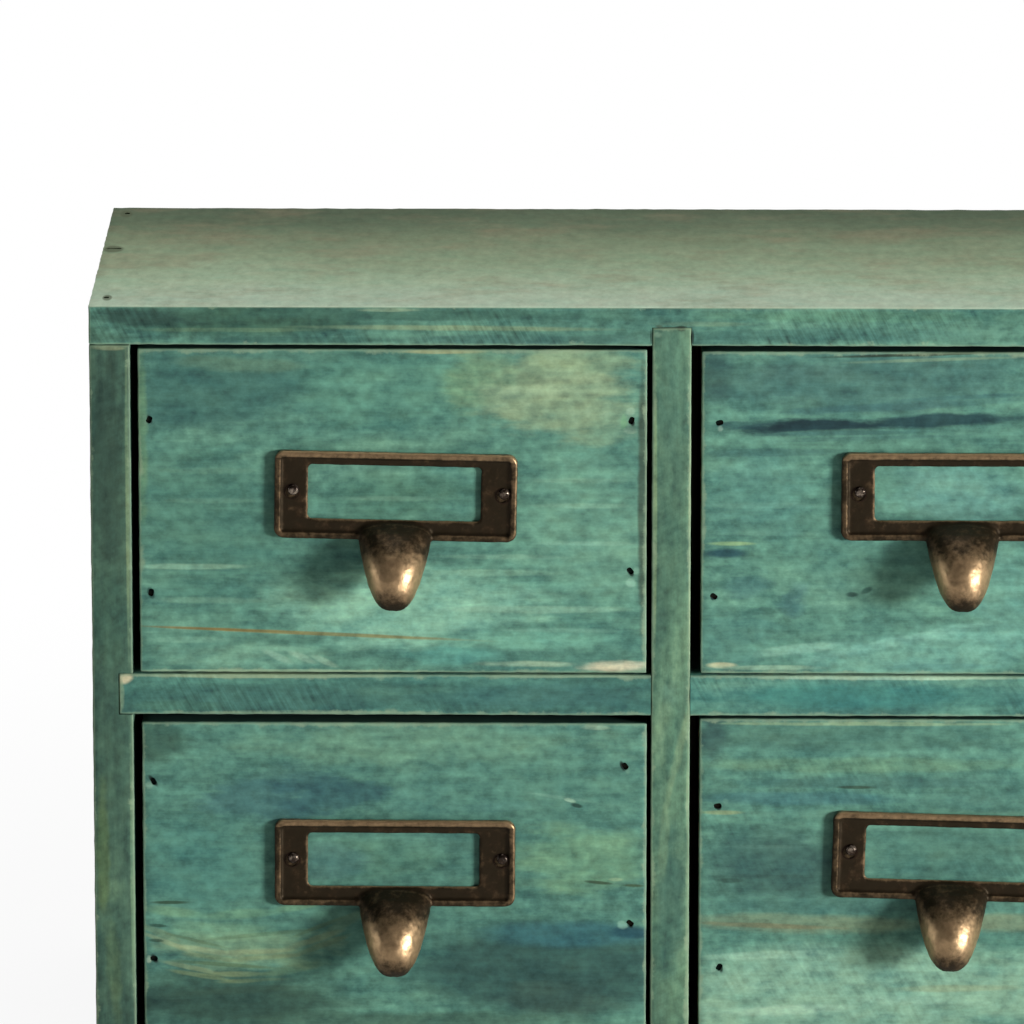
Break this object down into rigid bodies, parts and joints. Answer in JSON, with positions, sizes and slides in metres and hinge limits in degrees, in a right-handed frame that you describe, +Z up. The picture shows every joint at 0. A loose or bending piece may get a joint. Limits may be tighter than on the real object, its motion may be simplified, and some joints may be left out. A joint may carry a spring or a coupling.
{
  "type": "desktop drawer unit",
  "caption": "Small free-standing wooden drawer unit for a desk: drawers with brass label pulls slide in a housed and nailed carcass.",
  "frame": {"origin": "centre of the carcass's underside, where it stands on the desk", "axes": "+Z up, the drawers open towards -Y, +X is on the right of someone who faces them"},
  "size_m": [0.296, 0.1366, 0.2038],
  "materials": {
    "stained_wood": "pine with a worn blue-green stain",
    "bare_wood": "sawn pine, unfinished",
    "plywood": "thin plywood, unfinished",
    "aged_brass": "antiqued, dark, rubbed bright on the pull",
    "steel_wire": "dull"
  },
  "bodies": {
    "carcass": {"top_board": "stained_wood", "bottom_board": "stained_wood", "left_side_panel": "stained_wood", "right_side_panel": "stained_wood", "divider": "stained_wood", "shelf": "stained_wood", "back_panel": "plywood", "top_brads": "steel_wire", "top_staples": "steel_wire", "bottom_brads": "steel_wire", "shelf_brads": "steel_wire", "back_tacks": "steel_wire"},
    "upper_left_drawer": {"upper_left_front": "stained_wood", "upper_left_left_side": "bare_wood", "upper_left_right_side": "bare_wood", "upper_left_back": "bare_wood", "upper_left_bottom": "plywood", "upper_left_label_pull": "aged_brass", "upper_left_pull_pins": "aged_brass", "upper_left_front_brads": "steel_wire", "upper_left_rear_brads": "steel_wire", "upper_left_bottom_tacks": "steel_wire"},
    "upper_right_drawer": {"upper_right_front": "stained_wood", "upper_right_left_side": "bare_wood", "upper_right_right_side": "bare_wood", "upper_right_back": "bare_wood", "upper_right_bottom": "plywood", "upper_right_label_pull": "aged_brass", "upper_right_pull_pins": "aged_brass", "upper_right_front_brads": "steel_wire", "upper_right_rear_brads": "steel_wire", "upper_right_bottom_tacks": "steel_wire"},
    "lower_left_drawer": {"lower_left_front": "stained_wood", "lower_left_left_side": "bare_wood", "lower_left_right_side": "bare_wood", "lower_left_back": "bare_wood", "lower_left_bottom": "plywood", "lower_left_label_pull": "aged_brass", "lower_left_pull_pins": "aged_brass", "lower_left_front_brads": "steel_wire", "lower_left_rear_brads": "steel_wire", "lower_left_bottom_tacks": "steel_wire"},
    "lower_right_drawer": {"lower_right_front": "stained_wood", "lower_right_left_side": "bare_wood", "lower_right_right_side": "bare_wood", "lower_right_back": "bare_wood", "lower_right_bottom": "plywood", "lower_right_label_pull": "aged_brass", "lower_right_pull_pins": "aged_brass", "lower_right_front_brads": "steel_wire", "lower_right_rear_brads": "steel_wire", "lower_right_bottom_tacks": "steel_wire"}
  },
  "joints": [
    {"name": "upper_left_slide", "type": "slide", "parent": "carcass", "child": "upper_left_drawer", "axis": [0, -1, 0], "range_m": [0, 0.09]},
    {"name": "upper_right_slide", "type": "slide", "parent": "carcass", "child": "upper_right_drawer", "axis": [0, -1, 0], "range_m": [0, 0.09]},
    {"name": "lower_left_slide", "type": "slide", "parent": "carcass", "child": "lower_left_drawer", "axis": [0, -1, 0], "range_m": [0, 0.09]},
    {"name": "lower_right_slide", "type": "slide", "parent": "carcass", "child": "lower_right_drawer", "axis": [0, -1, 0], "range_m": [0, 0.09]}
  ]
}
